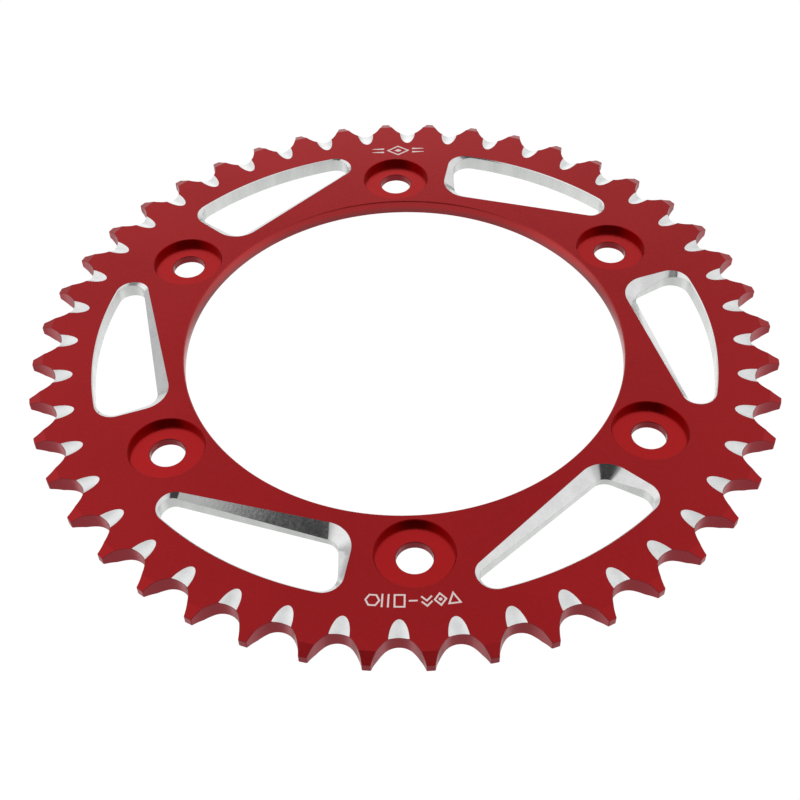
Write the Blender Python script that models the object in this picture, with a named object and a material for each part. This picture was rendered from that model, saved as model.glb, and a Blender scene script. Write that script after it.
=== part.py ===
"""Rear chain sprocket for a motorcycle, machined from one aluminium plate.

Frame: metres, +Z up.  The origin is the centre of the hub bore on the back
face, the face that lies against the hub.  The back face is z = 0 and the
outer face, with the counterbores and the mud grooves, is z = THICK.  One
bolt hole lies on +Y.  Angles are in degrees, anticlockwise from +X, seen
from the outer face.

All driving dimensions are millimetres.  The blank is one solid; the teeth,
windows, bore, bolt holes and grooves are cut from it by boolean modifiers.
"""

import math

import bmesh
import bpy
from mathutils import Matrix, Vector

MM = 0.001

# Plate
THICK = 5.2
TIP_RADIUS = 113.9          # outside radius of the turned blank
RIM_BEVEL_RADIAL = 3.5      # bevel turned on both sides of the rim
RIM_BEVEL_DEPTH = 1.35

# Bolt circle
BOLT_COUNT = 6
BOLT_STEP = 360.0 / BOLT_COUNT
FIRST_BOLT_ANGLE = 30.0
BOLT_CIRCLE_RADIUS = 80.2
BOLT_HOLE_RADIUS = 5.12
BOLT_HOLE_CHAMFER = 0.4
COUNTERBORE_RADIUS = 11.0
COUNTERBORE_DEPTH = 2.3
COUNTERBORE_CHAMFER = 0.25
BOLT_SEGMENTS = 28

# Teeth, for a 5/8 inch pitch chain
TEETH = 44
CHAIN_PITCH = 15.875
PITCH_RADIUS = CHAIN_PITCH / (2.0 * math.sin(math.pi / TEETH))
TOOTH_STEP = 360.0 / TEETH
FIRST_SPACE_ANGLE = FIRST_BOLT_ANGLE    # a tooth space is in line with the first bolt hole

# Tooth space, centred on the pitch circle
SEAT_RADIUS = 5.12          # roller seating arc
SEAT_HALF_ANGLE = 48.0      # where the seating arc ends, from the inward radius
SEAT_POINTS = 7
FLANK_RADIUS = 14.0         # hollow working flank, tangent to the seating arc
FLANK_POINTS = 4
FLANK_SEARCH_STEP = 0.001   # radians, in the search for the outside radius
FLANK_RUN_OUT = 0.9         # straight length past the end of the flank

# Hub register
BORE_RADIUS = 67.45
BORE_CHAMFER_OUTER = 0.3
BORE_CHAMFER_BACK = 0.5
BORE_SEGMENTS = 96

# Lightening windows, one between each pair of bolt holes. Every window has a
# rim on the outer face and a smaller opening below it; the bevel between them
# is widest at the inner wide corner and runs out along the outer arc.
# The first window lies near +X, with its wide end towards +Y.
# radius: outer arc, round the bore centre.
# wide, narrow, inner: straight edges, as the direction of the normal pointing
# into the window and the distance of the edge from the bore centre along it.
WINDOW_RIM = {
    "radius": 95.2,
    "wide": (-72.4, -0.35),
    "narrow": (70.3, -0.35),
    "inner": (13.52, 72.6),
    "fillets": {"outer_wide": 5.75, "inner_wide": 8.55,
                "inner_narrow": 4.45, "outer_narrow": 5.45},
}
WINDOW_OPENING = {
    "radius": 94.85,
    "wide": (-60.8, 19.3),
    "narrow": (70.3, 0.7),
    "inner": (10.66, 76.35),
    "fillets": {"outer_wide": 5.4, "inner_wide": 4.5,
                "inner_narrow": 3.2, "outer_narrow": 4.6},
}
WINDOW_BEVEL_SLOPE = 38.0       # degrees below the face
WINDOW_CHAMFER = 0.35           # on the back face
WINDOW_FILLET_STEPS = 5
WINDOW_ARC_STEPS = 9

# Mud grooves milled into the outer face at the root of every tooth space
GROOVE_RADIUS = 6.5         # section of the cutter
GROOVE_START = 100.9        # radius where the groove runs out into the face
GROOVE_SLOPE = 6.4          # degrees, falling outward
GROOVE_LENGTH_IN = 2.5      # cutter length inward of the start
GROOVE_LENGTH_OUT = 16.0    # cutter length outward of the start
GROOVE_SEGMENTS = 36

# How far the cutters reach past the faces of the plate
FORM_OVERRUN = 2.0
HOLE_OVERRUN = 1.0
WINDOW_OVERRUN = 0.5


# Plane geometry

def polar(radius, degrees):
    angle = math.radians(degrees)
    return Vector((radius * math.cos(angle), radius * math.sin(angle)))


def direction_angle(vector):
    return math.atan2(vector.y, vector.x)


def arc(centre, radius, start, end, steps):
    """steps + 1 points from start to end, angles in radians."""
    points = []
    for i in range(steps + 1):
        angle = start + (end - start) * i / steps
        points.append(centre + radius * Vector((math.cos(angle), math.sin(angle))))
    return points


def circle(radius, count, centre, phase):
    return [centre + polar(radius, phase + 360.0 * i / count) for i in range(count)]


def distance_to_loop(point, loop):
    """Shortest distance from a point to a closed outline."""
    best = math.inf
    for start, end in zip(loop, loop[1:] + loop[:1]):
        side = end - start
        along = (point - start).dot(side) / side.length_squared
        nearest = start + min(1.0, max(0.0, along)) * side
        best = min(best, (point - nearest).length)
    return best


# Solids, each given as a stack of rings of 3D points

def level_ring(z, points):
    return [(p.x, p.y, z) for p in points]


def turned_rings(profile, count, centre=Vector((0.0, 0.0)), phase=0.0):
    """Rings of a round solid; the profile lists (z, radius), lowest first."""
    return [level_ring(z, circle(radius, count, centre, phase)) for z, radius in profile]


def loft(bm, rings):
    """Closed solid through rings of equal length.

    The rings run anticlockwise, seen from beyond the last one."""
    vert_rings = [[bm.verts.new((x * MM, y * MM, z * MM)) for x, y, z in ring]
                  for ring in rings]
    count = len(vert_rings[0])
    for low, high in zip(vert_rings, vert_rings[1:]):
        for i in range(count):
            j = (i + 1) % count
            bm.faces.new((low[i], low[j], high[j], high[i]))
    bm.faces.new(list(reversed(vert_rings[0])))
    bm.faces.new(vert_rings[-1])


def new_object(name, solids):
    """One object holding every solid of the list."""
    bm = bmesh.new()
    for rings in solids:
        loft(bm, rings)
    bmesh.ops.recalc_face_normals(bm, faces=bm.faces)
    mesh = bpy.data.meshes.new(name)
    bm.to_mesh(mesh)
    bm.free()
    ob = bpy.data.objects.new(name, mesh)
    bpy.context.scene.collection.objects.link(ob)
    return ob


def new_cutter(name, solids):
    ob = new_object(name, solids)
    ob.hide_render = True
    ob.display_type = 'WIRE'
    return ob


# Blank and teeth

def blank():
    """Turned disc with both rim edges bevelled; one facet on each tooth tip."""
    count = 2 * TEETH
    to_corner = 1.0 / math.cos(math.pi / count)     # from the middle of a facet to its corner
    tip = TIP_RADIUS * to_corner
    face = (TIP_RADIUS - RIM_BEVEL_RADIAL) * to_corner
    profile = [(0.0, face),
               (RIM_BEVEL_DEPTH, tip),
               (THICK - RIM_BEVEL_DEPTH, tip),
               (THICK, face)]
    phase = FIRST_SPACE_ANGLE + TOOTH_STEP / 4.0
    return new_object("sprocket", [turned_rings(profile, count, phase=phase)])


def from_root(angle):
    """Unit vector at an angle in radians from -Y, turning towards +X."""
    return Vector((math.sin(angle), -math.cos(angle)))


def half_tooth_space():
    """Seating arc and hollow flank of the +X side of a tooth space.

    The tooth space opens along +Y; the points run from its root to past
    the outside radius.
    """
    seat_end = math.radians(SEAT_HALF_ANGLE)
    seat_centre = Vector((0.0, PITCH_RADIUS))
    points = [seat_centre + SEAT_RADIUS * from_root(seat_end * i / (SEAT_POINTS - 1))
              for i in range(SEAT_POINTS)]

    flank_centre = seat_centre + (SEAT_RADIUS - FLANK_RADIUS) * from_root(seat_end)
    flank_end = seat_end
    while (flank_centre + FLANK_RADIUS * from_root(flank_end)).length < TIP_RADIUS:
        flank_end += FLANK_SEARCH_STEP
    for i in range(1, FLANK_POINTS + 1):
        angle = seat_end + (flank_end - seat_end) * i / FLANK_POINTS
        points.append(flank_centre + FLANK_RADIUS * from_root(angle))

    # Straight run out past the blank, along the last tangent
    tangent = Vector((math.cos(flank_end), math.sin(flank_end)))
    points.append(points[-1] + FLANK_RUN_OUT * tangent)
    return points


def tooth_outline():
    """Closed outline of all the teeth, anticlockwise."""
    right = half_tooth_space()
    left = [Vector((-p.x, p.y)) for p in right]
    space = list(reversed(right)) + left[1:]
    points = []
    for k in range(TEETH):
        turn = Matrix.Rotation(math.radians(FIRST_SPACE_ANGLE - 90.0 + k * TOOTH_STEP), 2)
        points += [turn @ p for p in space]
    return points


def tooth_form():
    outline = tooth_outline()
    rings = [level_ring(z, outline) for z in (-FORM_OVERRUN, THICK + FORM_OVERRUN)]
    return new_cutter("form_teeth", [rings])


# Windows

def fillet_centre_at_arc(edge, outward, radius, fillet):
    """Centre of the fillet between an end edge and the outer arc."""
    normal, distance = edge
    across = distance + fillet
    along = math.sqrt((radius - fillet) ** 2 - across ** 2)
    return along * outward + across * normal


def fillet_centre_at_edges(end_edge, inner_edge, fillet):
    """Centre of the fillet between an end edge and the inner edge."""
    (end, end_distance), (inner, inner_distance) = end_edge, inner_edge
    from_end = end_distance + fillet
    from_inner = inner_distance + fillet
    det = end.x * inner.y - end.y * inner.x
    return Vector(((from_end * inner.y - from_inner * end.y) / det,
                   (end.x * from_inner - inner.x * from_end) / det))


def fillet_arc(centre, radius, start_direction, end_direction):
    """Anticlockwise arc between two directions."""
    start = direction_angle(start_direction)
    end = direction_angle(end_direction)
    while end <= start:
        end += 2.0 * math.pi
    return arc(centre, radius, start, end, WINDOW_FILLET_STEPS)


def window_outline(shape, grow=0.0):
    """Closed outline of the window near +X, anticlockwise, grown outward."""
    radius = shape["radius"] + grow
    fillets = {corner: size + grow for corner, size in shape["fillets"].items()}
    wide_edge, narrow_edge, inner_edge = [
        (polar(1.0, shape[side][0]), shape[side][1] - grow)
        for side in ("wide", "narrow", "inner")]
    wide, narrow, inner = wide_edge[0], narrow_edge[0], inner_edge[0]

    # Directions along the end edges, away from the bore
    wide_outward = Vector((-wide.y, wide.x))
    narrow_outward = Vector((narrow.y, -narrow.x))

    outer_narrow = fillet_centre_at_arc(
        narrow_edge, narrow_outward, radius, fillets["outer_narrow"])
    outer_wide = fillet_centre_at_arc(wide_edge, wide_outward, radius, fillets["outer_wide"])
    inner_wide = fillet_centre_at_edges(wide_edge, inner_edge, fillets["inner_wide"])
    inner_narrow = fillet_centre_at_edges(narrow_edge, inner_edge, fillets["inner_narrow"])

    points = fillet_arc(outer_narrow, fillets["outer_narrow"], -narrow, outer_narrow)
    points += arc(Vector((0.0, 0.0)), radius, direction_angle(outer_narrow),
                  direction_angle(outer_wide), WINDOW_ARC_STEPS)[1:-1]
    points += fillet_arc(outer_wide, fillets["outer_wide"], outer_wide, -wide)
    points += fillet_arc(inner_wide, fillets["inner_wide"], -wide, -inner)
    points += fillet_arc(inner_narrow, fillets["inner_narrow"], -inner, -narrow)
    return points


def window_cutters():
    rim = window_outline(WINDOW_RIM)
    opening = window_outline(WINDOW_OPENING)
    back = window_outline(WINDOW_OPENING, WINDOW_CHAMFER + WINDOW_OVERRUN)
    fall = math.tan(math.radians(WINDOW_BEVEL_SLOPE))
    depths = [fall * distance_to_loop(p, rim) for p in opening]
    # The bevel carried on past the rim, to above the face
    above = [r + (r - p) * (WINDOW_OVERRUN / depth)
             for r, p, depth in zip(rim, opening, depths)]
    solids = []
    for k in range(BOLT_COUNT):
        turn = Matrix.Rotation(math.radians(k * BOLT_STEP), 2)
        turned_opening = [turn @ p for p in opening]
        solids.append([
            level_ring(-WINDOW_OVERRUN, [turn @ p for p in back]),
            level_ring(WINDOW_CHAMFER, turned_opening),
            [(p.x, p.y, THICK - depth) for p, depth in zip(turned_opening, depths)],
            level_ring(THICK + WINDOW_OVERRUN, [turn @ p for p in above])])
    return new_cutter("cut_windows", solids)


# Bore and bolt holes; their 45 degree chamfers are carried on past the faces

def bore_cutter():
    profile = [(-HOLE_OVERRUN, BORE_RADIUS + BORE_CHAMFER_BACK + HOLE_OVERRUN),
               (BORE_CHAMFER_BACK, BORE_RADIUS),
               (THICK - BORE_CHAMFER_OUTER, BORE_RADIUS),
               (THICK + HOLE_OVERRUN, BORE_RADIUS + BORE_CHAMFER_OUTER + HOLE_OVERRUN)]
    return new_cutter("cut_bore", [turned_rings(profile, BORE_SEGMENTS)])


def bolt_cutters():
    floor = THICK - COUNTERBORE_DEPTH
    profile = [(-HOLE_OVERRUN, BOLT_HOLE_RADIUS + BOLT_HOLE_CHAMFER + HOLE_OVERRUN),
               (BOLT_HOLE_CHAMFER, BOLT_HOLE_RADIUS),
               (floor, BOLT_HOLE_RADIUS),
               (floor, COUNTERBORE_RADIUS),
               (THICK - COUNTERBORE_CHAMFER, COUNTERBORE_RADIUS),
               (THICK + HOLE_OVERRUN, COUNTERBORE_RADIUS + COUNTERBORE_CHAMFER + HOLE_OVERRUN)]
    solids = []
    for k in range(BOLT_COUNT):
        angle = FIRST_BOLT_ANGLE + k * BOLT_STEP
        centre = polar(BOLT_CIRCLE_RADIUS, angle)
        solids.append(turned_rings(profile, BOLT_SEGMENTS, centre, angle))
    return new_cutter("cut_bolts", solids)


# Mud grooves

def groove_ring(distance):
    """Section of the groove cutter on +X, at a distance along its slope."""
    slope = math.radians(GROOVE_SLOPE)
    along = Vector((math.cos(slope), 0.0, -math.sin(slope)))
    up = Vector((math.sin(slope), 0.0, math.cos(slope)))
    bottom = Vector((GROOVE_START, 0.0, THICK)) + distance * along
    ring = []
    for i in range(GROOVE_SEGMENTS):
        angle = 2.0 * math.pi * (i + 0.5) / GROOVE_SEGMENTS
        ring.append(bottom + (GROOVE_RADIUS - GROOVE_RADIUS * math.cos(angle)) * up
                    + Vector((0.0, GROOVE_RADIUS * math.sin(angle), 0.0)))
    return ring


def groove_cutters():
    """Round cutters sloping down and outward, one on each tooth space."""
    rings = [groove_ring(-GROOVE_LENGTH_IN), groove_ring(GROOVE_LENGTH_OUT)]
    solids = []
    for k in range(TEETH):
        turn = Matrix.Rotation(math.radians(FIRST_SPACE_ANGLE + k * TOOTH_STEP), 3, 'Z')
        solids.append([[turn @ p for p in ring] for ring in rings])
    return new_cutter("cut_grooves", solids)


# Material and assembly

def anodised_aluminium():
    red = (0.35, 0.012, 0.016, 1.0)
    mat = bpy.data.materials.new("red_anodised_aluminium")
    mat.use_nodes = True
    settings = {"Base Color": red, "Metallic": 0.85, "Roughness": 0.38}
    bsdf = mat.node_tree.nodes["Principled BSDF"]
    for name, value in settings.items():
        bsdf.inputs[name].default_value = value
    mat.diffuse_color = red
    return mat


def add_boolean(ob, other, operation):
    mod = ob.modifiers.new(other.name, 'BOOLEAN')
    mod.operation = operation
    mod.solver = 'EXACT'
    mod.object = other


def remove_everything():
    for ob in list(bpy.data.objects):
        bpy.data.objects.remove(ob, do_unlink=True)


def build():
    remove_everything()
    sprocket = blank()
    add_boolean(sprocket, tooth_form(), 'INTERSECT')
    for make_cutter in (window_cutters, bore_cutter, bolt_cutters, groove_cutters):
        add_boolean(sprocket, make_cutter(), 'DIFFERENCE')
    sprocket.data.materials.append(anodised_aluminium())


build()
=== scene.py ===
"""A 44-tooth chain sprocket plate in red anodised aluminium.

The plate lies flat, centred on Z: its back face is at z = 0, its front face looks up
(+Z) and the camera stands on the -Y side. Shapes are worked out in millimetres and
scaled to metres when the mesh is made.
"""
import math

import bpy
import numpy as np
from mathutils import Matrix, Vector
from mathutils.geometry import delaunay_2d_cdt


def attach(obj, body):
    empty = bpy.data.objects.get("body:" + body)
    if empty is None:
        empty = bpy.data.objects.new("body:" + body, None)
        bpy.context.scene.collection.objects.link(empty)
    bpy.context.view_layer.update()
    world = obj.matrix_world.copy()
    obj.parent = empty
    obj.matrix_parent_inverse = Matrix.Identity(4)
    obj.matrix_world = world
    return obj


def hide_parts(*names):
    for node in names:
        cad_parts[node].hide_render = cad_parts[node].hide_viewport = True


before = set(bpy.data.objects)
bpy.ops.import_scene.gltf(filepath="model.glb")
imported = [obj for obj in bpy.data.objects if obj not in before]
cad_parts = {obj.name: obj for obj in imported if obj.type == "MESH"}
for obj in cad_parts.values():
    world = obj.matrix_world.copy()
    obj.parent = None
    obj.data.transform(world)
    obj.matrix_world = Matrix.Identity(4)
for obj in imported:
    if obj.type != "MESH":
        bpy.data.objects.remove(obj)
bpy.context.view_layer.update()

MM = 0.001

# ---------------------------------------------------------------- dimensions, mm
THICK = 5.2

# teeth
TEETH = 44
CHAIN_PITCH = 15.875
PITCH_R = CHAIN_PITCH / (2.0 * math.sin(math.pi / TEETH))
STEP = 2.0 * math.pi / TEETH
FIRST = math.radians(30.0)       # a tooth space and a bolt hole are centred here
SEAT_R = 5.12                    # round root of a tooth space
SEAT_HALF = math.radians(48.0)
FLANK_R = 14.0
TIP_R = 113.9
TIP_CORNER = 0.35
BEVEL_R = TIP_R - 3.5            # the turned bevels run from here to the tips
BEVEL_DEPTH = 1.35
EDGE = 0.16                      # rounding of the tooth outline, on both faces
EDGE_STEPS = 3

# groove running into each tooth space: depth = slope * s - curve * s^2
GROOVE_APEX = 100.9
GROOVE_SECTION = 6.4
GROOVE_SLOPE = 0.172
GROOVE_CURVE = 0.0121
GROOVE_SIDE = 5.0                # search limits, across and along
GROOVE_REACH = 9.0

# centre bore
BORE_R = 67.45
BORE_CHAMFER_FRONT = 0.3
BORE_CHAMFER_BACK = 0.5
BORE_SOFT = 0.06                 # small facet under the front chamfer
BORE_FRONT_R = BORE_R + BORE_CHAMFER_FRONT
BORE_BACK_R = BORE_R + BORE_CHAMFER_BACK
BORE_SEGMENTS = 360

# bolt holes, counterbored from the front
BOLTS = 6
SPACING = math.pi / 3            # between bolt holes, and between windows
BOLT_PCR = 80.2
HOLE_R = 5.12
HOLE_CHAMFER = 0.18
HOLE_CHAMFER_BACK = 0.4
HOLE_BACK_R = HOLE_R + HOLE_CHAMFER_BACK
COUNTERBORE_R = 11.0
COUNTERBORE_DEPTH = 2.3
COUNTERBORE_CHAMFER = 0.22
COUNTERBORE_RIM_R = COUNTERBORE_R + COUNTERBORE_CHAMFER
SEAT_SEGMENTS = 96

# Windows. Straight edges: (degrees of the normal into the window, distance along it).
# Fillets: outer wide, inner wide, inner narrow, outer narrow.
WINDOW_RIM = dict(radius=95.2, wide=(-72.4, -0.35), narrow=(70.3, -0.35),
                  inner=(13.52, 72.6), fillets=(5.75, 8.55, 4.45, 5.45))
WINDOW_OPENING = dict(radius=94.85, wide=(-60.8, 19.3), narrow=(70.3, 0.7),
                      inner=(10.66, 76.35), fillets=(5.4, 4.5, 3.2, 4.6))
WINDOW_BEVEL = math.tan(math.radians(38.0))
WINDOW_SOFT = 0.06               # softened crease between bevel and wall
WINDOW_CHAMFER = 0.33            # on the back face
WINDOW_CHAMFER_SOFT = 0.05
ARC_STEPS, FILLET_STEPS = 40, 14
WIDE_STEPS, INNER_STEPS, NARROW_STEPS = 6, 16, 8

# material slots, in the order they are added to the plate
RED, EDGE_RED, FLOOR_RED, BORE_RED, COUNTERBORE_SHADE_RED, HOLE_RED, BARE, WALL_BARE, GROOVE_BARE, MARK = range(10)

UP, DOWN = np.array([0, 0, 1.0]), np.array([0, 0, -1.0])


# ---------------------------------------------------------------- small geometry
def unit(v):
    v = np.asarray(v, float)
    return v / np.maximum(np.linalg.norm(v, axis=-1, keepdims=True), 1e-12)


def heading(angle):
    return np.array([math.cos(angle), math.sin(angle)])


def angle_of(v):
    return math.atan2(v[1], v[0])


def turn(points, angle):
    c, s = math.cos(angle), math.sin(angle)
    return points @ np.array([[c, s], [-s, c]])


def arc(radius, angles, centre=(0.0, 0.0)):
    return np.array(centre) + radius * np.stack([np.cos(angles), np.sin(angles)], -1)


def circle_angles(segments, phase=0.0):
    return phase + 2 * math.pi * np.arange(segments) / segments


def lift(xy, z):
    """Add a third column: one height, or one for each point."""
    return np.column_stack([xy, np.full(len(xy), z)])


def solve(f, low, high):
    """Root of f between low and high by halving."""
    sign = f(low) > 0
    for _ in range(60):
        mid = (low + high) / 2
        if (f(mid) > 0) == sign:
            low = mid
        else:
            high = mid
    return (low + high) / 2


def inside_polygon(points, polygon):
    """Even-odd test of many points against one closed polygon."""
    x0, y0 = polygon.T
    x1, y1 = np.roll(x0, -1), np.roll(y0, -1)
    out = np.zeros(len(points), bool)
    chunk = 2000                 # bounds the memory used
    for i in range(0, len(points), chunk):
        x, y = points[i:i + chunk, :1], points[i:i + chunk, 1:]
        spans = (y0 > y) != (y1 > y)
        with np.errstate(divide="ignore", invalid="ignore"):
            crossing = x0 + (y - y0) * (x1 - x0) / (y1 - y0)
        out[i:i + chunk] = (np.sum(spans & (x < crossing), axis=1) % 2).astype(bool)
    return out


def distance_to_loop(points, loop):
    best = np.full(len(points), 1e9)
    for start, end in zip(loop, np.roll(loop, -1, 0)):
        side = end - start
        t = np.clip((points - start) @ side / (side @ side), 0, 1)
        best = np.minimum(best, np.hypot(*(points - (start + t[:, None] * side)).T))
    return best


# ---------------------------------------------------------------- mesh store
class Store:
    """Vertices, faces with a material and a normal for every corner."""

    def __init__(self):
        self.co, self.faces, self.normals, self.mats = [], [], [], []

    def ring(self, points):
        start = len(self.co)
        self.co += [tuple(map(float, p)) for p in points]
        return list(range(start, len(self.co)))

    def face(self, ids, normals, mat):
        """Add a triangle or quad, wound to agree with its corner normals."""
        a, b, c = (np.array(self.co[i]) for i in (ids[0], ids[1], ids[-1]))
        if len(ids) == 4:
            facing = np.cross(np.array(self.co[ids[2]]) - a, c - b)
        else:
            facing = np.cross(b - a, c - a)
        if np.dot(facing, np.sum(normals, axis=0)) < 0.0:
            ids, normals = ids[::-1], normals[::-1]
        self.faces.append(tuple(ids))
        self.normals.append(normals)
        self.mats.append(int(mat))

    def strip(self, first, second, first_normals, second_normals, mat):
        """Quads between two closed rings; mat is one slot or one for each quad."""
        n = len(first)
        mats = np.broadcast_to(mat, n)
        for i in range(n):
            j = (i + 1) % n
            self.face([first[i], first[j], second[j], second[i]],
                      [first_normals[i], first_normals[j], second_normals[j], second_normals[i]],
                      mats[i])

    def to_object(self, name):
        used = sorted({v for face in self.faces for v in face})
        renumber = {v: i for i, v in enumerate(used)}
        mesh = bpy.data.meshes.new(name)
        mesh.from_pydata([tuple(c * MM for c in self.co[v]) for v in used], [],
                         [tuple(renumber[v] for v in face) for face in self.faces])
        mesh.polygons.foreach_set("material_index", self.mats)
        mesh.polygons.foreach_set("use_smooth", [True] * len(self.faces))
        mesh.update()
        mesh.normals_split_custom_set([tuple(map(float, v)) for ns in self.normals for v in ns])
        return add_object(name, mesh)


def add_object(name, data):
    ob = bpy.data.objects.new(name, data)
    bpy.context.scene.collection.objects.link(ob)
    return ob


# ---------------------------------------------------------------- face surfaces
def bevel_drop(xy):
    return BEVEL_DEPTH * (np.hypot(*xy.T) - BEVEL_R) / (TIP_R - BEVEL_R)


def bevel_height(xy):
    """Front face without the grooves."""
    return np.minimum(THICK, THICK - bevel_drop(xy))


def back_height(xy):
    return np.maximum(0.0, bevel_drop(xy))


def groove_floor(s):
    return GROOVE_SLOPE * s - GROOVE_CURVE * s * s


def groove_half_width(s):
    d = np.maximum(groove_floor(s), 0.0)
    return np.sqrt(np.maximum(2 * GROOVE_SECTION * d - d * d, 0.0))


def to_space(xy):
    """Coordinates along and across the nearest tooth space, and its angle."""
    x, y = xy.T
    a = FIRST + np.round((np.arctan2(y, x) - FIRST) / STEP) * STEP
    return x * np.cos(a) + y * np.sin(a), -x * np.sin(a) + y * np.cos(a), a


def front_height(xy):
    z = bevel_height(xy)
    along, across, _ = to_space(xy)
    s = along - GROOVE_APEX
    rise = np.sqrt(np.maximum(GROOVE_SECTION ** 2 - np.minimum(across ** 2, GROOVE_SECTION ** 2), 0))
    groove = THICK - groove_floor(s) + GROOVE_SECTION - rise
    return np.where((s > 0) & (np.abs(across) < GROOVE_SIDE) & (groove < z), groove, z)


def cone_normal(xy, facing):
    slope = BEVEL_DEPTH / (TIP_R - BEVEL_R)
    return unit(lift(slope * xy / np.hypot(*xy.T)[:, None], facing))


def groove_normal(xy):
    along, across, a = to_space(xy)
    nx = GROOVE_SLOPE - 2 * GROOVE_CURVE * (along - GROOVE_APEX)
    ny = -across / np.sqrt(np.maximum(GROOVE_SECTION ** 2 - across ** 2, 1e-6))
    return unit(np.stack([nx * np.cos(a) - ny * np.sin(a), nx * np.sin(a) + ny * np.cos(a),
                          np.ones_like(nx)], -1))


# ---------------------------------------------------------------- outlines
def half_space():
    """The +X side of a tooth space opening along +Y: points, outward normals, tags."""
    seat = np.array([0.0, PITCH_R])

    def arm(a):
        return np.array([math.sin(a), -math.cos(a)])

    flank = seat + (SEAT_R - FLANK_R) * arm(SEAT_HALF)
    # the tip corner touches both the flank and the outside radius
    from_axis, from_flank = TIP_R - TIP_CORNER, FLANK_R + TIP_CORNER
    apart = np.linalg.norm(flank)
    along = (from_axis ** 2 - from_flank ** 2 + apart ** 2) / (2 * apart)
    across = math.sqrt(from_axis ** 2 - along ** 2)
    axis = flank / apart
    corner = along * axis + across * np.array([axis[1], -axis[0]])
    to_corner = (corner - flank) / np.linalg.norm(corner - flank)

    def groove_gap(a):
        p = seat + (SEAT_R + EDGE) * arm(a)
        return p[0] - float(groove_half_width(p[1] - GROOVE_APEX))

    def bevel_gap(a):
        return np.linalg.norm(flank + (FLANK_R + EDGE) * arm(a)) - BEVEL_R

    flank_end = math.atan2(to_corner[0], -to_corner[1])
    groove = solve(groove_gap, 0.05, SEAT_HALF)
    bevel = solve(bevel_gap, SEAT_HALF, flank_end)
    corner_start = angle_of(-to_corner)
    corner_end = angle_of(corner / np.linalg.norm(corner))
    tooth_middle = math.pi / 2 - STEP / 2

    points, normals, tags = [], [], []

    def sweep(centre, radius, direction, outward, angles, tag=""):
        """Add an arc whose last point carries the tag."""
        for a in angles:
            points.append(centre + radius * direction(a))
            normals.append(outward * direction(a))
            tags.append("")
        tags[-1] = tag

    sweep(seat, SEAT_R, arm, -1, np.linspace(0, groove, 9), "groove")
    sweep(seat, SEAT_R, arm, -1, np.linspace(groove, SEAT_HALF, 7)[1:])
    sweep(flank, FLANK_R, arm, -1, np.linspace(SEAT_HALF, bevel, 6)[1:], "bevel")
    sweep(flank, FLANK_R, arm, -1, np.linspace(bevel, flank_end, 8)[1:])
    sweep(corner, TIP_CORNER, heading, 1, np.linspace(corner_start, corner_end, 6)[1:])
    sweep(np.zeros(2), TIP_R, heading, 1, np.linspace(corner_end, tooth_middle, 4)[1:])
    return np.array(points), np.array(normals), tags


def tooth_outline():
    """Closed anticlockwise outline: points, outward normals, tags."""
    p, n, tags = half_space()
    # from mid-tooth down the +X side to the root, then up the -X side
    p = np.vstack([p[::-1], (p * [-1, 1])[1:-1]])
    n = np.vstack([n[::-1], (n * [-1, 1])[1:-1]])
    turns = [FIRST - math.pi / 2 + k * STEP for k in range(TEETH)]
    return (np.vstack([turn(p, a) for a in turns]), np.vstack([turn(n, a) for a in turns]),
            (tags[::-1] + tags[1:-1]) * TEETH)


def window_outline(shape, grow=0.0):
    """Closed anticlockwise outline of the window centred near +X."""
    radius = shape["radius"] + grow
    outer_wide, inner_wide, inner_narrow, outer_narrow = [f + grow for f in shape["fillets"]]
    (wide, wide_d), (narrow, narrow_d), (inner, inner_d) = [
        (math.radians(shape[k][0]), shape[k][1] - grow) for k in ("wide", "narrow", "inner")]
    wide_n, wide_run = heading(wide), heading(wide + math.pi / 2)
    narrow_n, narrow_run = heading(narrow), heading(narrow - math.pi / 2)
    inner_n = heading(inner)

    def centre_at_arc(run, normal, distance, r):
        across = distance + r
        return math.sqrt((radius - r) ** 2 - across ** 2) * run + across * normal

    def centre_at_inner(normal, distance, r):
        return np.linalg.solve(np.array([normal, inner_n]), np.array([distance + r, inner_d + r]))

    def fillet(centre, r, start, end):
        start, end = angle_of(start), angle_of(end)
        while end <= start:
            end += 2 * math.pi
        return arc(r, np.linspace(start, end, FILLET_STEPS + 1), centre)

    def between(a, b, steps):
        return a + (b - a) * np.linspace(0, 1, steps + 1)[1:-1, None]

    c_start = centre_at_arc(narrow_run, narrow_n, narrow_d, outer_narrow)
    c_end = centre_at_arc(wide_run, wide_n, wide_d, outer_wide)
    # the outer arc runs anticlockwise from the narrow edge to the wide one
    first = fillet(c_start, outer_narrow, -narrow_n, c_start)
    outside = arc(radius, np.linspace(angle_of(c_start), angle_of(c_end), ARC_STEPS + 1))[1:-1]
    second = fillet(c_end, outer_wide, c_end, -wide_n)
    third = fillet(centre_at_inner(wide_n, wide_d, inner_wide), inner_wide, -wide_n, -inner_n)
    fourth = fillet(centre_at_inner(narrow_n, narrow_d, inner_narrow), inner_narrow,
                    -inner_n, -narrow_n)
    return np.vstack([first, outside, second, between(second[-1], third[0], WIDE_STEPS),
                      third, between(third[-1], fourth[0], INNER_STEPS),
                      fourth, between(fourth[-1], first[0], NARROW_STEPS)])


# ---------------------------------------------------------------- laser marks
def stroke(points, width, closed=False):
    """Outline of a drawn line of the given width, as one or two closed loops."""
    p = np.array(points, float)
    leaving = unit(np.roll(p, -1, 0) - p)
    arriving = np.roll(leaving, 1, 0)
    if not closed:
        arriving[0], leaving[-1] = leaving[0], arriving[-1]
    mitre = unit(arriving + leaving)
    reach = width / 2 / np.maximum(np.sum(mitre * arriving, -1), 0.35)
    offset = np.stack([-mitre[:, 1], mitre[:, 0]], -1) * reach[:, None]
    if closed:
        return [p + offset, p - offset]
    return [np.vstack([p + offset, (p - offset)[::-1]])]


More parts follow.
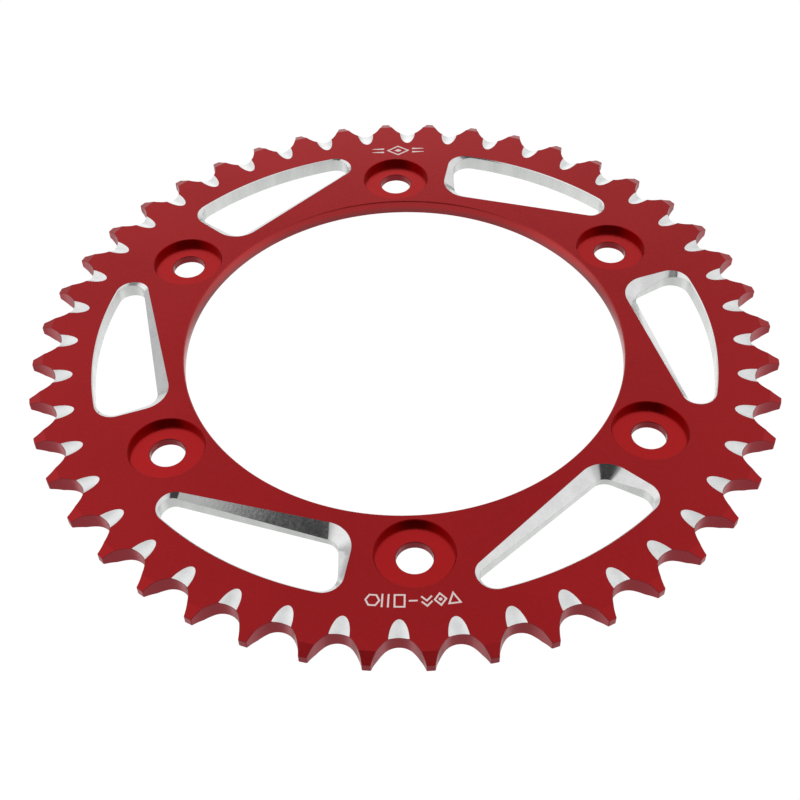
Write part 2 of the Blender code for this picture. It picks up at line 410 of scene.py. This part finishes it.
def place(shape, radius, degrees):
    """Loops moved to a polar place on the plate, their +Y turned to the axis."""
    out = heading(math.radians(degrees))
    radial = -out
    across = np.array([radial[1], -radial[0]])
    return [out * radius + loop[:, :1] * across + loop[:, 1:] * radial for loop in shape]


def mark_row():
    """Seven plain shapes on an arc inboard of the -Y teeth."""
    radius, middle, spacing = 95.3, -90.6, 2.12      # mm, degrees, degrees
    h, w = 2.05, 0.48                                # half height, line width
    edge = h - w / 2
    shapes = [
        stroke(arc(edge, circle_angles(6)), w, True),
        stroke([(-1.0, -h), (-1.0, h)], w) + stroke([(0.6, -h), (0.6, h)], w),
        stroke([(-1.3, -edge), (1.3, -edge), (1.3, edge), (-1.3, edge)], w, True),
        stroke([(-1.15, 0.0), (1.15, 0.0)], w),
        (stroke([(-1.4, 1.25), (0.0, -0.15), (1.4, 1.25)], w)
         + stroke([(-1.4, -0.35), (0.0, -1.75), (1.4, -0.35)], w)),
        (stroke([(0.0, -edge), (1.5, 0.0), (0.0, edge), (-1.5, 0.0)], w, True)
         + [arc(0.5, circle_angles(12))]),
        stroke([(-1.5, -h + w), (1.5, -h + w), (0.0, h - w)], w, True),
    ]
    return [loop for i, shape in enumerate(shapes)
            for loop in place(shape, radius, middle + (i - 3) * spacing)]


def mark_lozenge():
    """A lozenge with four tapering bars, outboard of the +Y bolt hole."""
    shape = stroke([(-3.6, 0.0), (0.0, -2.5), (3.6, 0.0), (0.0, 2.5)], 0.55, True)
    shape.append(np.array([(-1.3, 0.0), (0.0, -0.9), (1.3, 0.0), (0.0, 0.9)]))
    start, end, thick_half, thin_half = 5.0, 9.2, 0.42, 0.12
    for side in (-1, 1):
        for rise in (0.95, -0.95):
            shape.append(np.array([(side * start, rise + thick_half),
                                   (side * start, rise - thick_half),
                                   (side * end, rise - thin_half),
                                   (side * end, rise + thin_half)]))
    return place(shape, radius=96.4, degrees=89.2)


# ---------------------------------------------------------------- plate walls
def tooth_edge(store, p, n):
    """Tooth wall between its two rounded edges; gives the front and back rings."""
    side = lift(n, 0.0)

    def rounding(height, base_normal, facing):
        rings, normals = [], []
        for j in range(EDGE_STEPS + 1):
            t = math.pi / 2 * j / EDGE_STEPS
            q = p - n * EDGE * (1 - math.sin(t))
            z = height(q) - facing * EDGE * (1 - math.cos(t))
            rings.append(store.ring(lift(q, z)))
            normals.append(side if j == EDGE_STEPS else
                           unit(math.cos(t) * base_normal(q) + math.sin(t) * side))
        return rings, normals

    def face_normal(q, flat, facing):
        on_bevel = np.hypot(*q.T) > BEVEL_R + 1e-6
        return np.where(on_bevel[:, None], cone_normal(q, facing), flat)

    inset = p - n * EDGE
    grooved = front_height(inset) < bevel_height(inset)
    front_base = face_normal(inset, np.where(grooved[:, None], groove_normal(inset), UP), 1.0)
    front, front_n = rounding(front_height, lambda q: front_base, 1)
    for j in range(EDGE_STEPS):
        bare_quads = grooved & np.roll(grooved, -1) & (j == 0)
        store.strip(front[j + 1], front[j], front_n[j + 1], front_n[j],
                    np.where(bare_quads, GROOVE_BARE, EDGE_RED))
    back, back_n = rounding(back_height, lambda q: face_normal(q, DOWN, -1.0), -1)
    for j in range(EDGE_STEPS):
        store.strip(back[j], back[j + 1], back_n[j], back_n[j + 1], EDGE_RED)
    store.strip(back[-1], front[-1], side, side, EDGE_RED)
    return front[0], back[0]


def turned_hole(store, profile, mats, segments, centre=(0.0, 0.0), phase=0.0):
    """A hole from a profile running from front to back; gives its end rings.

    profile: (radius, height, whether the normals blend at this point), one
    material for each step. Only points between the ends may blend.
    """
    angles = circle_angles(segments, phase)
    radial = arc(1.0, angles)
    rings = [store.ring(lift(arc(r, angles, centre), z)) for r, z, _ in profile]
    # normals as (radial, up), to the right of travel: towards the axis
    slopes = [unit([z1 - z0, r0 - r1]) for (r0, z0, _), (r1, z1, _) in zip(profile, profile[1:])]
    for i, slope in enumerate(slopes):
        start = unit(slopes[i - 1] + slope) if profile[i][2] else slope
        end = unit(slopes[i + 1] + slope) if profile[i + 1][2] else slope
        start_n, end_n = (unit(lift(radial * s[0], s[1])) for s in (start, end))
        store.strip(rings[i], rings[i + 1], start_n, end_n, mats[i])
    return rings[0], rings[-1]


def bore(store):
    shoulder = THICK - BORE_CHAMFER_FRONT
    profile = [(BORE_FRONT_R, THICK, False),
               (BORE_R + BORE_SOFT, shoulder + BORE_SOFT, False),
               (BORE_R, shoulder - BORE_SOFT, True),
               (BORE_R, BORE_CHAMFER_BACK, False),
               (BORE_BACK_R, 0.0, False)]
    return turned_hole(store, profile, [BORE_RED] * 4, BORE_SEGMENTS)


def bolt_hole(store, angle):
    floor = THICK - COUNTERBORE_DEPTH
    profile = [(COUNTERBORE_RIM_R, THICK, False),
               (COUNTERBORE_R, THICK - COUNTERBORE_CHAMFER, False),
               (COUNTERBORE_R, floor, False),
               (HOLE_R + HOLE_CHAMFER, floor, False),
               (HOLE_R, floor - HOLE_CHAMFER, False),
               (HOLE_R, HOLE_CHAMFER_BACK, False),
               (HOLE_BACK_R, 0.0, False)]
    # the counterbore wall and its chamfer take the painted-shade red
    mats = [COUNTERBORE_SHADE_RED, COUNTERBORE_SHADE_RED, FLOOR_RED, HOLE_RED, HOLE_RED, HOLE_RED]
    return turned_hole(store, profile, mats, SEAT_SEGMENTS, BOLT_PCR * heading(angle), angle)


def windows(store):
    """Bevelled rim, wall and back chamfer of each window.

    Gives, for each face, the end rings and their outlines.
    """
    rim_0, opening_0 = window_outline(WINDOW_RIM), window_outline(WINDOW_OPENING)
    outward_0 = unit(window_outline(WINDOW_OPENING, 1.0) - opening_0)
    wall_top = THICK - WINDOW_BEVEL * distance_to_loop(opening_0, rim_0)
    chamfer, soft = WINDOW_CHAMFER, WINDOW_CHAMFER_SOFT

    def tangent(p):
        return unit(np.roll(p, -1, 0) - np.roll(p, 1, 0))

    front_rings, back_rings, front_outlines, back_outlines = [], [], [], []
    for k in range(BOLTS):
        rim, opening, outward = (turn(v, k * SPACING) for v in (rim_0, opening_0, outward_0))
        high, low = lift(rim, THICK), lift(opening, wall_top)
        facet = unit(np.cross(high - low, tangent(high) + tangent(low)))
        facet *= np.where(facet[:, 2:] < 0, -1.0, 1.0)
        inward = lift(-outward, 0.0)
        slanted = unit(inward + DOWN)
        rings = [store.ring(points) for points in (
            high,
            low + unit(high - low) * WINDOW_SOFT,
            lift(opening, wall_top - WINDOW_SOFT),
            lift(opening, chamfer + soft),
            lift(opening + outward * soft, chamfer - soft),
            lift(opening + outward * chamfer, 0.0))]
        normals = [facet, facet, inward, inward, slanted, slanted]
        for i, mat in enumerate([BARE] + [WALL_BARE] * 4):
            store.strip(rings[i], rings[i + 1], normals[i], normals[i + 1], mat)
        front_rings.append(rings[0])
        back_rings.append(rings[-1])
        front_outlines.append(rim)
        back_outlines.append(opening + outward * chamfer)
    return front_rings, back_rings, front_outlines, back_outlines


# ---------------------------------------------------------------- lines on the faces
def groove_lines(store, edge_ring, inset, tags):
    """Rim of each groove as a line of vertices, and loose vertices on its floor."""
    lines, loose = [], []
    span = len(tags) // TEETH
    for k in range(TEETH):
        a = FIRST + k * STEP
        ca, sa = math.cos(a), math.sin(a)

        def to_plate(along, across):
            return np.stack([along * ca - across * sa, along * sa + across * ca], -1)

        # the outline meets the groove on the clockwise side first
        start, end = [i for i in range(k * span, (k + 1) * span) if tags[i] == "groove"]
        length = inset[start][0] * ca + inset[start][1] * sa - GROOVE_APEX
        s = length * np.linspace(0, 1, 15)[1:-1] ** 2
        clockwise, anticlockwise = (
            store.ring(lift(to_plate(GROOVE_APEX + s, side * groove_half_width(s)), THICK))
            for side in (-1, 1))
        apex = store.ring([(GROOVE_APEX * ca, GROOVE_APEX * sa, THICK)])
        lines.append([edge_ring[start]] + clockwise[::-1] + apex + anticlockwise
                     + [edge_ring[end]])
        for s in np.linspace(0.5, 6.0, 12):
            for part in (-0.86, -0.66, -0.44, -0.22, 0.0, 0.22, 0.44, 0.66, 0.86):
                y = part * float(groove_half_width(s))
                root = PITCH_R - math.sqrt((SEAT_R + EDGE) ** 2 - y * y)
                if GROOVE_APEX + s < root - 0.12:    # keep clear of the root edge
                    xy = to_plate(GROOVE_APEX + s, y)[None]
                    loose += store.ring(lift(xy, front_height(xy)))
    return lines, loose


def crease_lines(store, front_ring, back_ring, inset, tags):
    """Inner limit of the turned bevel across each tooth, on both faces."""
    crease = [i for i, tag in enumerate(tags) if tag == "bevel"]
    front_lines, back_lines = [], []
    for j in range(TEETH):
        # from the second crease point of a space to the first of the next one
        i0, i1 = crease[2 * j + 1], crease[(2 * j + 2) % len(crease)]
        a0, a1 = angle_of(inset[i0]), angle_of(inset[i1])
        if a1 < a0:
            a1 += 2 * math.pi
        points = arc(BEVEL_R, np.linspace(a0, a1, 9)[1:-1])
        for lines, ring, z in ((front_lines, front_ring, THICK), (back_lines, back_ring, 0.0)):
            lines.append([ring[i0]] + store.ring(lift(points, z)) + [ring[i1]])
    return front_lines, back_lines


# ---------------------------------------------------------------- flat faces
def on_plate(centres, outline, window_outlines, bore_r, seat_r):
    """Which triangle centres lie on the plate."""
    def chord_radius(r, segments):
        # the circles are made of chords, so their inner radius is smaller
        return r * math.cos(math.pi / segments) - 1e-4

    ok = np.hypot(*centres.T) > chord_radius(bore_r, BORE_SEGMENTS)
    ok &= inside_polygon(centres, outline)
    for k in range(BOLTS):
        bolt = BOLT_PCR * heading(FIRST + k * SPACING)
        ok &= np.hypot(*(centres - bolt).T) > chord_radius(seat_r, SEAT_SEGMENTS)
    for window in window_outlines:
        ok &= ~inside_polygon(centres, window)
    return ok


def face_materials(centres, facing, mark_loops):
    mats = np.full(len(centres), RED)
    if facing > 0:
        along, across, _ = to_space(centres)
        s = along - GROOVE_APEX
        in_groove = (s > 0) & (s < GROOVE_REACH) & (np.abs(across) < groove_half_width(s))
        mats[in_groove] = GROOVE_BARE
    crossings = np.zeros(len(centres), int)
    for loop in mark_loops:
        crossings += inside_polygon(centres, loop)
    mats[crossings % 2 == 1] = MARK
    return mats


def fill_face(store, facing, loops, lines, loose, mark_loops, **limits):
    """Triangulate the front (facing 1) or back (-1) between rings in the store.

    loops: closed rings; lines: open runs; loose: single vertices; limits go
    to on_plate.
    """
    height = front_height if facing > 0 else back_height
    chains = [ring + ring[:1] for ring in loops] + lines
    ids = list(dict.fromkeys([v for chain in chains for v in chain] + loose))
    index = {v: i for i, v in enumerate(ids)}
    edges = [(index[a], index[b]) for chain in chains for a, b in zip(chain, chain[1:])]
    flat = [Vector(store.co[v][:2]) for v in ids]
    out, _, tris, origins, _, _ = delaunay_2d_cdt(flat, edges, [], 0, 1e-6)
    xy = np.array([(v.x, v.y) for v in out])
    stored = []
    for point, origin in zip(xy, origins):
        if origin:
            stored.append(ids[origin[0]])
        else:
            stored += store.ring(lift(point[None], height(point[None])))
    tris = np.array([t for t in tris if len(t) == 3])
    centres = xy[tris].mean(1)
    kept = on_plate(centres, **limits)
    mats = face_materials(centres, facing, mark_loops)
    co = np.array(store.co)
    for tri, mat in zip(np.array(stored)[tris[kept]], mats[kept]):
        corners = co[tri][:, :2]
        if mat == GROOVE_BARE:
            normals = groove_normal(corners)
        elif np.hypot(*corners.mean(0)) > BEVEL_R:
            normals = cone_normal(corners, float(facing))
        else:
            normals = np.tile([0, 0, float(facing)], (3, 1))
        store.face(list(map(int, tri)), list(normals), mat)


def build_plate():
    store = Store()
    p, n, tags = tooth_outline()
    inset = p - n * EDGE
    front_edge, back_edge = tooth_edge(store, p, n)
    bore_front, bore_back = bore(store)
    holes = [bolt_hole(store, FIRST + k * SPACING) for k in range(BOLTS)]
    window_front, window_back, front_outlines, back_outlines = windows(store)
    grooves, loose = groove_lines(store, front_edge, inset, tags)
    front_creases, back_creases = crease_lines(store, front_edge, back_edge, inset, tags)
    mark_loops = mark_row() + mark_lozenge()
    mark_rings = [store.ring(lift(loop, THICK)) for loop in mark_loops]

    fill_face(store, 1, [front_edge, bore_front] + [h[0] for h in holes] + window_front + mark_rings,
              grooves + front_creases, loose, mark_loops, outline=inset,
              window_outlines=front_outlines, bore_r=BORE_FRONT_R, seat_r=COUNTERBORE_RIM_R)
    fill_face(store, -1, [back_edge, bore_back] + [h[1] for h in holes] + window_back,
              back_creases, [], [], outline=inset,
              window_outlines=back_outlines, bore_r=BORE_BACK_R, seat_r=HOLE_BACK_R)
    return store.to_object("sprocket_plate")


# ---------------------------------------------------------------- shader nodes
NOISE_SPAN = (0.3, 0.7)          # the useful part of a noise texture's values


class Nodes:
    """Short ways to add nodes to the emptied tree of a material or world."""

    def __init__(self, owner):
        owner.use_nodes = True
        self.tree = owner.node_tree
        self.tree.nodes.clear()

    def new(self, kind, **inputs):
        """_name sets a property, i0 an input by number, Some_Name an input by name."""
        node = self.tree.nodes.new(kind)
        for key, value in inputs.items():
            if key.startswith("_"):
                setattr(node, key[1:], value)
                continue
            name = int(key[1:]) if key[0] == "i" and key[1:].isdigit() else key.replace("_", " ")
            if isinstance(value, bpy.types.NodeSocket):
                self.tree.links.new(value, node.inputs[name])
            else:
                node.inputs[name].default_value = value
        return node

    def math(self, operation, *values, clamp=False):
        inputs = {f"i{i}": value for i, value in enumerate(values)}
        return self.new("ShaderNodeMath", _operation=operation, _use_clamp=clamp,
                        **inputs).outputs[0]

    def add(self, a, b, clamp=False):
        return self.math("ADD", a, b, clamp=clamp)

    def sub(self, a, b):
        return self.math("SUBTRACT", a, b)

    def mul(self, a, by):
        return self.math("MULTIPLY", a, by)

    def ramp(self, value, span, to=(0.0, 1.0), smooth=False):
        node = self.new("ShaderNodeMapRange", Value=value, From_Min=span[0], From_Max=span[1],
                        To_Min=to[0], To_Max=to[1])
        if smooth:
            node.interpolation_type = 'SMOOTHSTEP'
        return node.outputs[0]

    def fade(self, value, span, to=(0.0, 1.0)):
        return self.ramp(value, span, to, smooth=True)

    def noise(self, vector, scale, detail, roughness=0.5):
        return self.new("ShaderNodeTexNoise", Vector=vector, Scale=scale, Detail=detail,
                        Roughness=roughness).outputs[0]

    def swing(self, noise, by, around=None):
        """Noise turned into a swing of +-by, around zero or a given value."""
        signed = self.ramp(noise, NOISE_SPAN, to=(-1.0, 1.0))
        if around is None:
            return self.mul(signed, by)
        return self.math("MULTIPLY_ADD", signed, by, around)

    def mix(self, factor, a, b):
        return self.new("ShaderNodeMix", _data_type='RGBA', i0=factor, i6=a, i7=b).outputs[2]

    def position(self):
        return self.new("ShaderNodeTexCoord").outputs["Object"]

    def height_axis(self, position):
        return self.new("ShaderNodeSeparateXYZ", i0=position).outputs[2]

    def bump(self, height, strength):
        return self.new("ShaderNodeBump", Height=height, Strength=strength,
                        Distance=0.00002).outputs[0]

    def output(self, kind, shader):
        self.new(kind, i0=shader.outputs[0])


def new_material(name):
    mat = bpy.data.materials.new(name)
    return mat, Nodes(mat)


# ---------------------------------------------------------------- plate materials
def anodised(name, base, deep, rough, grain, coat, layers=0.0, low=None):
    """Dyed anodic film over aluminium.

    base and deep are its lighter and darker colours, grain the bump strength,
    layers the bump of level bands, low the painted-shade colour of a wall's back part.
    """
    mat, nd = new_material(name)
    pos = nd.position()
    fine = nd.noise(pos, scale=5200.0, detail=2.0, roughness=0.6)
    coarse = nd.noise(pos, scale=900.0, detail=3.0, roughness=0.55)
    cloud = nd.noise(pos, scale=28.0, detail=3.0)
    shade = nd.add(nd.swing(fine, by=0.16),
                   nd.add(nd.swing(coarse, by=0.12), nd.swing(cloud, by=0.18)))
    middle = 0.5
    colour = nd.mix(nd.add(shade, middle, clamp=True), (*deep, 1.0), (*base, 1.0))
    if low:
        # painted shade: the colour turns darker and duller towards the back of a deep wall, standing
        # in for the shadowed floor it reflects there
        height_mm = nd.mul(nd.height_axis(pos), by=1000.0)
        colour = nd.mix(nd.fade(height_mm, span=(1.2, 3.6), to=(1.0, 0.0)), colour, (*low, 1.0))
    roughness = nd.add(nd.swing(coarse, by=0.04), nd.swing(cloud, by=0.03, around=rough))
    height = nd.add(fine, nd.mul(coarse, by=0.6))
    if layers:
        level = nd.mul(nd.height_axis(pos), by=6000.0)
        bands = nd.new("ShaderNodeTexNoise", _noise_dimensions='1D', W=level, Scale=1.0,
                       Detail=2.0).outputs[0]
        height = nd.add(height, nd.mul(bands, by=layers))
    nd.output("ShaderNodeOutputMaterial", nd.new(
        "ShaderNodeBsdfPrincipled", Base_Color=colour, Metallic=1.0, Roughness=roughness,
        Coat_Weight=coat, Coat_Roughness=0.22, Coat_IOR=1.6,
        Normal=nd.bump(height, strength=grain)))
    return mat


def bare(name, base, rough, line_scale, stretch=(1.0, 1.0, 1.0)):
    """Freshly milled aluminium with cutter marks."""
    mat, nd = new_material(name)
    pos = nd.position()
    scaled = nd.new("ShaderNodeVectorMath", _operation='MULTIPLY', i0=pos, i1=stretch).outputs[0]
    lines = nd.noise(scaled, scale=line_scale, detail=3.0, roughness=0.6)
    fine = nd.noise(pos, scale=6000.0, detail=2.0)
    broad = nd.noise(scaled, scale=line_scale * 0.16, detail=2.0)
    tone = nd.add(nd.swing(lines, by=0.16), nd.swing(broad, by=0.25))
    middle, darkening = 0.6, 0.78
    dark = (*(c * darkening for c in base), 1.0)
    colour = nd.mix(nd.add(tone, middle, clamp=True), dark, (*base, 1.0))
    roughness = nd.swing(lines, by=0.04, around=rough)
    height = nd.add(lines, nd.mul(fine, by=0.35))
    nd.output("ShaderNodeOutputMaterial", nd.new(
        "ShaderNodeBsdfPrincipled", Base_Color=colour, Metallic=1.0, Roughness=roughness,
        Normal=nd.bump(height, strength=0.35)))
    return mat


def laser_mark():
    mat, nd = new_material("laser_mark")
    fine = nd.noise(nd.position(), scale=4500.0, detail=3.0, roughness=0.7)
    pink, pale = (0.86, 0.62, 0.60, 1.0), (1.0, 0.92, 0.90, 1.0)
    colour = nd.mix(nd.ramp(fine, NOISE_SPAN), pink, pale)
    nd.output("ShaderNodeOutputMaterial", nd.new(
        "ShaderNodeBsdfPrincipled", Base_Color=colour, Metallic=0.25, Roughness=0.55))
    return mat


def plate_materials():
    """In the order of the material slots."""
    return [
        anodised("anodised_face", base=(0.415, 0.0047, 0.0080), deep=(0.335, 0.0028, 0.0055),
                 rough=0.30, grain=0.30, coat=0.25),
        anodised("anodised_edge", base=(0.335, 0.018, 0.027), deep=(0.285, 0.013, 0.021),
                 rough=0.40, grain=0.25, coat=0.30, layers=0.8),
        anodised("anodised_turned", base=(0.53, 0.0062, 0.0085), deep=(0.47, 0.0042, 0.0065),
                 rough=0.22, grain=0.16, coat=0.25, layers=0.6),
        # painted light and shade: the bore wall's base is set brighter than the tooth-wall red as
        # painted light, and low darkens it towards the back face as painted shade
        anodised("anodised_bore", base=(0.42, 0.010, 0.012), deep=(0.37, 0.008, 0.010),
                 rough=0.38, grain=0.20, coat=0.42, layers=0.8, low=(0.25, 0.019, 0.021)),
        # painted shade: the counterbore wall's base is darker than the face red, standing in for the
        # shade inside the recess
        anodised("anodised_counterbore_painted_shade", base=(0.34, 0.004, 0.006), deep=(0.28, 0.003, 0.005),
                 rough=0.30, grain=0.20, coat=0.05),
        # painted shade: the bolt hole wall's base is set dark, standing in for the shade inside the
        # deep holes
        anodised("anodised_hole", base=(0.25, 0.009, 0.014), deep=(0.20, 0.006, 0.010),
                 rough=0.40, grain=0.20, coat=0.25, layers=0.8),
        bare("bare_bevel", base=(0.89, 0.89, 0.89), rough=0.09, line_scale=1100.0),
        bare("bare_wall", base=(0.80, 0.815, 0.80), rough=0.45, line_scale=1500.0,
             stretch=(1.0, 1.0, 0.08)),
        bare("bare_groove", base=(0.96, 0.965, 0.97), rough=0.36, line_scale=1500.0),
        laser_mark(),
    ]


plate = build_plate()
for slot_material in plate_materials():
    plate.data.materials.append(slot_material)
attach(plate, "root")
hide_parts("sprocket")


# ---------------------------------------------------------------- floor
WHITE_LEVEL = 1.02               # what the camera sees of the table and the world
FLOOR_HALF, FLOOR_Z = 4.0, -0.0003      # metres


def floor_material():
    """White to the camera from above, and clear to every other ray."""
    mat, nd = new_material("studio_floor")
    path = nd.new("ShaderNodeLightPath")
    geometry = nd.new("ShaderNodeNewGeometry")
    glow = nd.new("ShaderNodeEmission", Color=(1.0, 1.0, 1.0, 1.0), Strength=WHITE_LEVEL)
    clear = nd.new("ShaderNodeBsdfTransparent")
    shown = nd.mul(path.outputs["Is Camera Ray"], by=nd.sub(1.0, geometry.outputs["Backfacing"]))
    nd.output("ShaderNodeOutputMaterial", nd.new(
        "ShaderNodeMixShader", i0=nd.sub(1.0, shown), i1=glow.outputs[0], i2=clear.outputs[0]))
    return mat


def make_floor():
    mesh = bpy.data.meshes.new("studio_floor")
    s, z = FLOOR_HALF, FLOOR_Z
    mesh.from_pydata([(-s, -s, z), (s, -s, z), (s, s, z), (-s, s, z)], [], [(0, 1, 2, 3)])
    ob = add_object("studio_floor", mesh)
    mesh.materials.append(floor_material())
    return ob


make_floor()


# ---------------------------------------------------------------- world light
def lobe(nd, way, axis, span, amount):
    """Soft patch around a direction; span is in cosines of the angle from it."""
    dot = nd.new("ShaderNodeVectorMath", _operation='DOT_PRODUCT', i0=way,
                 i1=tuple(Vector(axis).normalized())).outputs["Value"]
    return nd.fade(dot, span, to=(0.0, amount))


def tent(nd, way, x, y, z):
    """Light from above: a white tent, brighter at the sides and at the +Y back."""
    base = 0.72
    above = nd.add(base, lobe(nd, way, axis=(-0.85, 0.25, 0.45), span=(0.45, 0.95), amount=0.26))
    above = nd.add(above, lobe(nd, way, axis=(0.85, 0.1, 0.5), span=(0.50, 0.95), amount=0.14))
    above = nd.add(above, lobe(nd, way, axis=(0.0, 0.94, 0.34), span=(0.945, 0.99), amount=0.55))
    above = nd.sub(above, lobe(nd, way, axis=(0.0, 0.68, 0.73), span=(0.95, 0.995), amount=0.07))
    above = nd.mul(above, by=nd.fade(y, span=(-0.20, -0.60), to=(1.0, 0.65)))
    low_left = nd.mul(nd.fade(x, span=(-0.30, -0.65), to=(0.0, 0.42)),
                      by=nd.fade(z, span=(0.42, 0.15)))
    above = nd.mul(above, by=nd.sub(1.0, low_left))

    # a dark gap that widens from the top down to the camera
    def slanted(by):
        return nd.math("MULTIPLY_ADD", y, by, x)

    left = nd.fade(slanted(by=-0.43), span=(-0.265, -0.198))
    right = nd.fade(slanted(by=0.85), span=(-0.19, -0.03), to=(1.0, 0.0))
    depth = nd.sub(nd.fade(y, span=(-0.07, -0.22), to=(0.0, 0.90)),
                   nd.fade(y, span=(-0.32, -0.42), to=(0.0, 0.40)))
    depth = nd.add(depth, nd.fade(y, span=(-0.47, -0.54), to=(0.0, 0.40)))
    depth = nd.mul(depth, by=nd.fade(y, span=(-0.62, -0.70), to=(1.0, 0.25)))
    gap = nd.mul(nd.mul(left, by=right), by=depth)
    return nd.mul(above, by=nd.sub(1.0, gap))


def underside(nd, way, y, z, flat, rightward):
    """Light from below: darker straight down, light to the sides."""
    below = nd.add(nd.fade(z, span=(-0.885, -0.74), to=(0.48, 0.76)),
                   nd.fade(z, span=(-0.72, -0.60), to=(0.0, 0.08)))
    below = nd.add(below, nd.fade(rightward, span=(0.88, 0.985), to=(0.0, 0.32)))
    rearward = nd.math("DIVIDE", y, flat)
    # left, but not towards the back
    below = nd.add(below, nd.mul(nd.fade(rightward, span=(-0.86, -0.985), to=(0.0, 0.36)),
                                 by=nd.fade(rearward, span=(0.25, 0.50), to=(1.0, 0.0))))
    # darker band between the side and the back
    below = nd.sub(below, nd.mul(nd.fade(rearward, span=(0.30, 0.50), to=(0.0, 0.18)),
                                 by=nd.fade(rearward, span=(0.72, 0.92), to=(1.0, 0.0))))
    deep_back = nd.mul(nd.fade(rearward, span=(0.66, 0.93), to=(0.0, 0.68)),
                       by=nd.fade(z, span=(-0.55, -0.65)))
    below = nd.add(below, deep_back)
    return nd.add(below, lobe(nd, way, axis=(0.60, 0.78, -0.18), span=(0.93, 0.99), amount=0.20))


def make_world():
    world = bpy.data.worlds.new("studio")
    bpy.context.scene.world = world
    nd = Nodes(world)
    way = nd.new("ShaderNodeTexCoord").outputs["Generated"]
    x, y, z = nd.new("ShaderNodeSeparateXYZ", i0=way).outputs[:3]
    tiny = 1e-6                  # avoids dividing by zero straight up and down
    flat = nd.math("SQRT", nd.add(nd.mul(x, by=x), nd.math("MULTIPLY_ADD", y, y, tiny)))
    rightward = nd.math("DIVIDE", x, flat)
    above = tent(nd, way, x, y, z)
    below = underside(nd, way, y, z, flat, rightward)
    side = nd.ramp(z, span=(-0.03, 0.03))
    total = nd.add(nd.mul(above, by=side), nd.mul(below, by=nd.sub(1.0, side)))
    path = nd.new("ShaderNodeLightPath")
    level = nd.new("ShaderNodeMix", _data_type='FLOAT', i0=path.outputs["Is Camera Ray"],
                   i2=total, i3=WHITE_LEVEL)
    nd.output("ShaderNodeOutputWorld", nd.new(
        "ShaderNodeBackground", Color=(1.0, 1.0, 1.0, 1.0), Strength=level.outputs[0]))


make_world()


# ---------------------------------------------------------------- camera
CAMERA_ELEVATION = math.radians(47.457)
CAMERA_ROLL = math.radians(-1.359)
CAMERA_TURN = math.radians(0.945)       # clockwise about +Z
CAMERA_DISTANCE = 396.998               # mm, along the view
CAMERA_ASIDE = 1.0501648                # mm, front face centre to the view's right
CAMERA_ABOVE = 18.5848098               # mm, and above its middle
CAMERA_SENSOR = 36.0                    # mm
CAMERA_LENS = 58.06035                  # mm
CAMERA_SHIFT = 0.000625                 # part of the frame's width


def make_camera():
    cos_el, sin_el = math.cos(CAMERA_ELEVATION), math.sin(CAMERA_ELEVATION)
    level, raised = np.array([1.0, 0.0, 0.0]), np.array([0.0, sin_el, cos_el])
    forward = np.array([0.0, cos_el, -sin_el])
    right = math.cos(CAMERA_ROLL) * level + math.sin(CAMERA_ROLL) * raised
    up = -math.sin(CAMERA_ROLL) * level + math.cos(CAMERA_ROLL) * raised
    place_mm = -(CAMERA_ASIDE * right + CAMERA_ABOVE * up + CAMERA_DISTANCE * forward)
    c, s = math.cos(CAMERA_TURN), math.sin(CAMERA_TURN)
    turning = np.array([[c, s, 0], [-s, c, 0], [0, 0, 1]])
    place_mm, right, up, forward = (turning @ v for v in (place_mm, right, up, forward))
    place_mm[2] += THICK

    cam = bpy.data.cameras.new("camera")
    cam.sensor_width = CAMERA_SENSOR
    cam.lens = CAMERA_LENS
    cam.shift_x, cam.shift_y = -CAMERA_SHIFT, CAMERA_SHIFT
    cam.clip_start, cam.clip_end = 0.01, 20.0
    ob = add_object("camera", cam)
    axes = Matrix([[right[i], up[i], -forward[i]] for i in range(3)])
    ob.matrix_world = Matrix.Translation(Vector(place_mm) * MM) @ axes.to_4x4()
    bpy.context.scene.camera = ob


make_camera()
bpy.context.scene.view_settings.view_transform = 'Standard'
